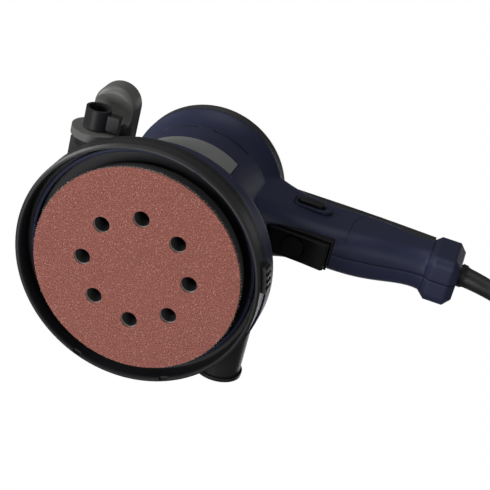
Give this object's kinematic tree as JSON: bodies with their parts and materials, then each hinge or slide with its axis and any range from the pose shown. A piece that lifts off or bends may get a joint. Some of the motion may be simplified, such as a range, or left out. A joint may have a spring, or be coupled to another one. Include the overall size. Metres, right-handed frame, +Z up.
{
  "type": "orbital sander",
  "caption": "Electric random-orbit disc sander with straight rear handle, trigger with speed dial, dust ring, side handle and mains lead.",
  "frame": {"origin": "on the motor shaft's axis, in the plane of the abrasive's face that the sander stands on", "axes": "+Z up the motor, +X back along the handle towards the cord, +Y the user's right"},
  "size_m": [0.5277, 0.1619, 0.1582],
  "materials": {
    "housing_plastic": "moulded, fine texture, satin",
    "black_plastic": "moulded, satin",
    "soft_cover": "soft-touch rubber",
    "cord_sheath": "smooth rubber sheath",
    "badge": "blank plate, satin",
    "abrasive": "aluminium oxide grit on paper",
    "hook": "hook and loop",
    "foam": "closed-cell foam",
    "pad_plate": "glass-filled nylon",
    "steel": "turned",
    "screw_steel": "blackened",
    "cast_metal": "die cast",
    "fan_plastic": "glass-filled nylon",
    "copper": "enamelled copper",
    "brass": "turned brass",
    "carbon": "carbon graphite",
    "circuit_board": "solder-masked laminate"
  },
  "bodies": {
    "housing": {"housing_left": "housing_plastic", "housing_right": "housing_plastic", "housing_screws": "screw_steel", "soft_cover": "soft_cover", "badge_plate": "badge", "rating_plate": "badge", "dust_port": "black_plastic", "inlet_plate": "black_plastic", "bearing_shield": "cast_metal", "bearing_bridge": "black_plastic", "stator_core": "steel", "field_coils": "copper", "brush_holders": "brass", "carbon_brushes": "carbon", "brush_springs": "steel", "trigger_bezel": "black_plastic", "lock_bezel": "black_plastic", "switch_module": "black_plastic", "lock_latch": "black_plastic", "lock_spring": "steel", "trigger_spring": "steel", "speed_board": "circuit_board", "capacitor": "circuit_board", "cord_clamp": "black_plastic", "cord_guard": "soft_cover", "power_cord": "cord_sheath", "cord_coil": "cord_sheath", "cord_tail": "cord_sheath", "mains_plug": "black_plastic", "plug_pins": "brass", "handle_bracket": "black_plastic", "clamp_bolt": "steel"},
    "dust_ring": {"dust_ring": "black_plastic"},
    "rotor": {"motor_shaft": "steel", "eccentric": "cast_metal", "cooling_fan": "fan_plastic", "armature_core": "steel", "armature_windings": "copper", "commutator": "copper", "lower_bearing": "steel", "upper_bearing": "steel", "pad_bearing": "steel"},
    "pad": {"pad_spindle": "steel", "pad_screw": "screw_steel", "pad_washer": "screw_steel", "backing_plate": "pad_plate", "pad_foam": "foam", "hook_layer": "hook", "abrasive_disc": "abrasive"},
    "trigger": {"trigger": "black_plastic"},
    "speed_dial": {"speed_dial": "black_plastic"},
    "lock_button": {"lock_button": "black_plastic"},
    "side_handle": {"side_handle": "black_plastic"},
    "clamp_knob": {"clamp_knob": "black_plastic"}
  },
  "joints": [
    {"name": "rotor_spin", "type": "hinge", "parent": "housing", "child": "rotor", "pos_m": [0, 0, 0.08], "axis": [0, 0, 1], "continuous": true},
    {"name": "pad_spin", "type": "hinge", "parent": "rotor", "child": "pad", "pos_m": [0.0015, 0, 0.02], "axis": [0, 0, 1], "continuous": true},
    {"name": "trigger_pull", "type": "slide", "parent": "housing", "child": "trigger", "axis": [0, 0, 1], "range_m": [0, 0.005], "stiffness_N_per_m": 600, "springref_m": -0.004, "deforming": ["trigger_spring"]},
    {"name": "speed_dial_turn", "type": "hinge", "parent": "trigger", "child": "speed_dial", "pos_m": [0.0735, 0, 0.095], "axis": [0, 0, 1], "range_deg": [0, 300]},
    {"name": "lock_button_press", "type": "slide", "parent": "housing", "child": "lock_button", "axis": [0, 1, 0], "range_m": [0, 0.003], "stiffness_N_per_m": 500, "springref_m": -0.003, "deforming": ["lock_spring"]},
    {"name": "side_handle_tilt", "type": "hinge", "parent": "housing", "child": "side_handle", "pos_m": [-0.051, -0.055, 0.042], "axis": [0, -1, 0], "range_deg": [0, 60]},
    {"name": "clamp_knob_turn", "type": "hinge", "parent": "housing", "child": "clamp_knob", "pos_m": [-0.051, -0.065, 0.042], "axis": [0, -1, 0], "continuous": true},
    {"name": "dust_ring_turn", "type": "hinge", "parent": "housing", "child": "dust_ring", "pos_m": [0, 0, 0.01], "axis": [0, 0, 1], "range_deg": [0, 15]}
  ]
}
